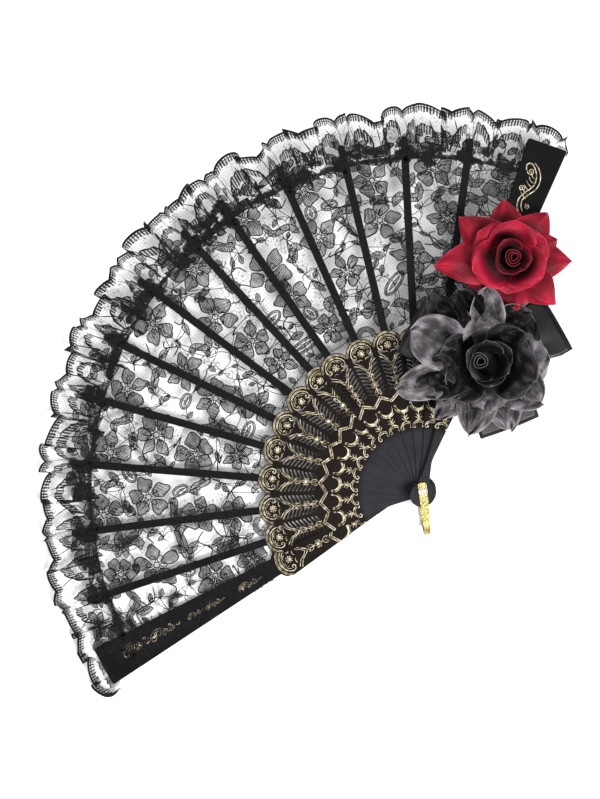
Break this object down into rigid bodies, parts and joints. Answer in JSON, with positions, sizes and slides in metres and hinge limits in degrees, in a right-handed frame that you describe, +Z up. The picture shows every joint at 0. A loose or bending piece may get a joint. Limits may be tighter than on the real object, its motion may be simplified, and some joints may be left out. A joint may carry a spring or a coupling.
{
  "type": "hand fan",
  "caption": "Folding lace hand fan, open: pierced black sticks on a rivet with a brass shackle, frilled lace leaf, and red and black fabric roses on one guard.",
  "frame": {"origin": "on the rivet's axis, in the plane of the rear guard's outer face, on which the open fan lies", "axes": "+Z up along the rivet, from the rear guard to the front guard; +Y halves the open leaf, away from the rivet; +X towards the front guard"},
  "size_m": [0.4403, 0.2591, 0.047],
  "materials": {
    "black_plastic": "satin black moulded plastic with an antique gold print",
    "lace": "black floral lace on a fine net",
    "lace_trim": "gathered black lace edging",
    "rivet_steel": "plain",
    "gold_strip": "bright, stamped with a fine grain",
    "red_satin": "crimson velvet-faced satin",
    "black_satin": "black crepe satin",
    "ribbon": "black satin ribbon",
    "felt": "black felt",
    "calyx": "dark moulded calyx"
  },
  "bodies": {
    "rear_guard": {"rear_guard": "black_plastic", "lace_leaf_rear": "lace", "lace_frill_rear": "lace_trim", "pivot_pin": "rivet_steel", "rivet_washer": "rivet_steel"},
    "stick_01": {"stick_01": "black_plastic", "lace_leaf_01": "lace", "lace_frill_01": "lace_trim"},
    "stick_02": {"stick_02": "black_plastic", "lace_leaf_02": "lace", "lace_frill_02": "lace_trim"},
    "stick_03": {"stick_03": "black_plastic", "lace_leaf_03": "lace", "lace_frill_03": "lace_trim"},
    "stick_04": {"stick_04": "black_plastic", "lace_leaf_04": "lace", "lace_frill_04": "lace_trim"},
    "stick_05": {"stick_05": "black_plastic", "lace_leaf_05": "lace", "lace_frill_05": "lace_trim"},
    "stick_06": {"stick_06": "black_plastic", "lace_leaf_06": "lace", "lace_frill_06": "lace_trim"},
    "stick_07": {"stick_07": "black_plastic", "lace_leaf_07": "lace", "lace_frill_07": "lace_trim"},
    "stick_08": {"stick_08": "black_plastic", "lace_leaf_08": "lace", "lace_frill_08": "lace_trim"},
    "stick_09": {"stick_09": "black_plastic", "lace_leaf_09": "lace", "lace_frill_09": "lace_trim"},
    "stick_10": {"stick_10": "black_plastic", "lace_leaf_10": "lace", "lace_frill_10": "lace_trim"},
    "stick_11": {"stick_11": "black_plastic", "lace_leaf_11": "lace", "lace_frill_11": "lace_trim"},
    "stick_12": {"stick_12": "black_plastic", "lace_leaf_12": "lace", "lace_frill_12": "lace_trim"},
    "front_guard": {"front_guard": "black_plastic", "lace_leaf_front": "lace", "lace_frill_front": "lace_trim", "black_rose_bud": "black_satin", "black_rose_calyx": "calyx", "black_rose_inner_petals": "black_satin", "black_rose_middle_petals": "black_satin", "black_rose_outer_petals": "black_satin", "flower_pad": "felt", "red_rose_bud": "red_satin", "red_rose_calyx": "calyx", "red_rose_cup_petals": "red_satin", "red_rose_outer_petals": "red_satin", "ribbon_loop_left": "ribbon", "ribbon_loop_lower": "ribbon", "ribbon_loop_right": "ribbon"},
    "shackle": {"shackle": "gold_strip"}
  },
  "joints": [
    {"name": "stick_01_pivot", "type": "hinge", "parent": "rear_guard", "child": "stick_01", "pos_m": [0, 0, 0], "axis": [0, 0, 1], "range_deg": [0, 10.5]},
    {"name": "stick_02_pivot", "type": "hinge", "parent": "stick_01", "child": "stick_02", "pos_m": [0, 0, 0], "axis": [0, 0, 1], "range_deg": [0, 11.3]},
    {"name": "stick_03_pivot", "type": "hinge", "parent": "stick_02", "child": "stick_03", "pos_m": [0, 0, 0], "axis": [0, 0, 1], "range_deg": [0, 11.51]},
    {"name": "stick_04_pivot", "type": "hinge", "parent": "stick_03", "child": "stick_04", "pos_m": [0, 0, 0], "axis": [0, 0, 1], "range_deg": [0, 11.3]},
    {"name": "stick_05_pivot", "type": "hinge", "parent": "stick_04", "child": "stick_05", "pos_m": [0, 0, 0], "axis": [0, 0, 1], "range_deg": [0, 10.21]},
    {"name": "stick_06_pivot", "type": "hinge", "parent": "stick_05", "child": "stick_06", "pos_m": [0, 0, 0], "axis": [0, 0, 1], "range_deg": [0, 10.71]},
    {"name": "stick_07_pivot", "type": "hinge", "parent": "stick_06", "child": "stick_07", "pos_m": [0, 0, 0], "axis": [0, 0, 1], "range_deg": [0, 10.61]},
    {"name": "stick_08_pivot", "type": "hinge", "parent": "stick_07", "child": "stick_08", "pos_m": [0, 0, 0], "axis": [0, 0, 1], "range_deg": [0, 7.71]},
    {"name": "stick_09_pivot", "type": "hinge", "parent": "stick_08", "child": "stick_09", "pos_m": [0, 0, 0], "axis": [0, 0, 1], "range_deg": [0, 11.01]},
    {"name": "stick_10_pivot", "type": "hinge", "parent": "stick_09", "child": "stick_10", "pos_m": [0, 0, 0], "axis": [0, 0, 1], "range_deg": [0, 10.71]},
    {"name": "stick_11_pivot", "type": "hinge", "parent": "stick_10", "child": "stick_11", "pos_m": [0, 0, 0], "axis": [0, 0, 1], "range_deg": [0, 10.3]},
    {"name": "stick_12_pivot", "type": "hinge", "parent": "stick_11", "child": "stick_12", "pos_m": [0, 0, 0], "axis": [0, 0, 1], "range_deg": [0, 10.71]},
    {"name": "front_guard_pivot", "type": "hinge", "parent": "stick_12", "child": "front_guard", "pos_m": [0, 0, 0], "axis": [0, 0, 1], "range_deg": [0, 11.8]},
    {"name": "shackle_swing", "type": "hinge", "parent": "rear_guard", "child": "shackle", "pos_m": [0, 0, 0], "axis": [0, 0, 1], "range_deg": [-22, 100]}
  ],
  "couplings": [
    {"joint": "stick_02_pivot", "follows": "stick_01_pivot", "ratio": 1.0762},
    {"joint": "stick_03_pivot", "follows": "stick_01_pivot", "ratio": 1.0952},
    {"joint": "stick_04_pivot", "follows": "stick_01_pivot", "ratio": 1.0762},
    {"joint": "stick_05_pivot", "follows": "stick_01_pivot", "ratio": 0.97143},
    {"joint": "stick_06_pivot", "follows": "stick_01_pivot", "ratio": 1.019},
    {"joint": "stick_07_pivot", "follows": "stick_01_pivot", "ratio": 1.0095},
    {"joint": "stick_08_pivot", "follows": "stick_01_pivot", "ratio": 0.73333},
    {"joint": "stick_09_pivot", "follows": "stick_01_pivot", "ratio": 1.0476},
    {"joint": "stick_10_pivot", "follows": "stick_01_pivot", "ratio": 1.019},
    {"joint": "stick_11_pivot", "follows": "stick_01_pivot", "ratio": 0.98095},
    {"joint": "stick_12_pivot", "follows": "stick_01_pivot", "ratio": 1.019},
    {"joint": "front_guard_pivot", "follows": "stick_01_pivot", "ratio": 1.1238}
  ]
}
